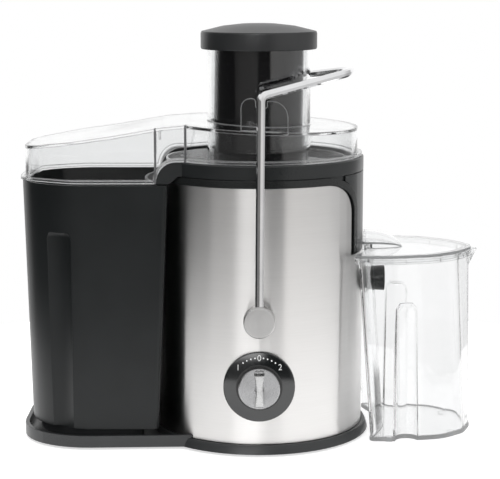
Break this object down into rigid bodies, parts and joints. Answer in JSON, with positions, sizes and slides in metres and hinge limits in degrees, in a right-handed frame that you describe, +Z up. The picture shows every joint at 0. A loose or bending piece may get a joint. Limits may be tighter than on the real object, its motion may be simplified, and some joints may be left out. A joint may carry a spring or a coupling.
{
  "type": "centrifugal juicer",
  "caption": "Centrifugal juicer: brushed steel motor body, clear lid with wide feed tube and pusher, wire locking bail, pulp bin on a tray, clear lidded juice jug.",
  "frame": {"origin": "middle of the whole juicer's footprint, at the level its feet stand on; the motor axis is 6 mm to the right and 5 mm behind it", "axes": "+X from the pulp bin to the juice jug, +Y from the dial at the front to the back, +Z up"},
  "size_m": [0.352, 0.1904, 0.3176],
  "materials": {
    "charcoal_plastic": "satin",
    "black_plastic": "gloss",
    "inner_plastic": "matt",
    "brushed_steel": "fine horizontal brushing",
    "sieve_steel": "satin",
    "satin_silver": "satin",
    "chrome_wire": "polished",
    "clear_plastic": "clear",
    "rubber": "matt",
    "steel_fastener": "zinc plated",
    "motor_iron": "laminated",
    "die_cast": "cast",
    "copper_winding": "varnished",
    "brass_part": "turned",
    "pale_plastic": "matt",
    "board_green": "satin"
  },
  "bodies": {
    "motor_body": {"base_tray": "charcoal_plastic", "motor_housing": "inner_plastic", "steel_wrap": "brushed_steel", "trim_strip_front": "black_plastic", "trim_strip_rear": "black_plastic", "spout_shroud": "charcoal_plastic", "juice_bowl": "charcoal_plastic", "juice_spout": "black_plastic", "lid": "clear_plastic", "dial_bezel": "black_plastic", "rotary_switch": "pale_plastic", "circuit_board": "board_green", "suppression_capacitor": "pale_plastic", "interlock_switch": "inner_plastic", "stator_core": "motor_iron", "field_coil_front": "copper_winding", "field_coil_rear": "copper_winding", "upper_end_frame": "die_cast", "lower_end_frame": "die_cast", "upper_bearing": "steel_fastener", "lower_bearing": "steel_fastener", "motor_grommet_left": "rubber", "motor_grommet_right": "rubber", "brush_holder_front": "brass_part", "brush_holder_rear": "brass_part", "carbon_brush_front": "inner_plastic", "carbon_brush_rear": "inner_plastic", "shaft_seal": "rubber", "pivot_pin_front": "steel_fastener", "pivot_pin_rear": "steel_fastener", "cord_gland": "rubber", "foot_front_left": "rubber", "foot_front_right": "rubber", "foot_rear_left": "rubber", "foot_rear_right": "rubber", "base_screw_1": "steel_fastener", "base_screw_2": "steel_fastener", "base_screw_3": "steel_fastener", "base_screw_4": "steel_fastener"},
    "rotor": {"motor_shaft": "steel_fastener", "armature_core": "motor_iron", "armature_winding_upper": "copper_winding", "armature_winding_lower": "copper_winding", "commutator": "brass_part", "cooling_fan": "pale_plastic", "drive_coupling": "pale_plastic", "filter_hub": "inner_plastic", "filter_mesh": "sieve_steel", "filter_rim": "sieve_steel", "grater_disc": "sieve_steel"},
    "bail": {"bail_wire": "chrome_wire", "bail_hub_front": "satin_silver", "bail_hub_rear": "satin_silver"},
    "dial": {"dial_knob": "satin_silver", "dial_spindle": "steel_fastener"},
    "pusher": {"pusher_body": "black_plastic", "pusher_cap": "charcoal_plastic"},
    "pulp_bin": {"pulp_container": "charcoal_plastic"},
    "jug": {"jug": "clear_plastic"},
    "jug_cover": {"jug_lid": "clear_plastic"}
  },
  "joints": [
    {"name": "motor_spin", "type": "hinge", "parent": "motor_body", "child": "rotor", "pos_m": [0.00605, 0.0036, 0.062], "axis": [0, 0, 1], "continuous": true},
    {"name": "bail_swing", "type": "hinge", "parent": "motor_body", "child": "bail", "pos_m": [0.00605, 0.0036, 0.1033], "axis": [0, 1, 0], "range_deg": [0, 60]},
    {"name": "dial_turn", "type": "hinge", "parent": "motor_body", "child": "dial", "pos_m": [0.00605, -0.081, 0.0531], "axis": [0, 1, 0], "range_deg": [-45, 45]},
    {"name": "pusher_lift", "type": "slide", "parent": "motor_body", "child": "pusher", "axis": [0, 0, 1], "range_m": [0, 0.145]},
    {"name": "pulp_bin_slide", "type": "slide", "parent": "motor_body", "child": "pulp_bin", "axis": [-1, 0, 0], "range_m": [0, 0.13]},
    {"name": "jug_slide", "type": "slide", "parent": "motor_body", "child": "jug", "axis": [1, 0, 0], "range_m": [0, 0.12]},
    {"name": "jug_cover_lift", "type": "slide", "parent": "jug", "child": "jug_cover", "axis": [0, 0, 1], "range_m": [0, 0.06]}
  ]
}
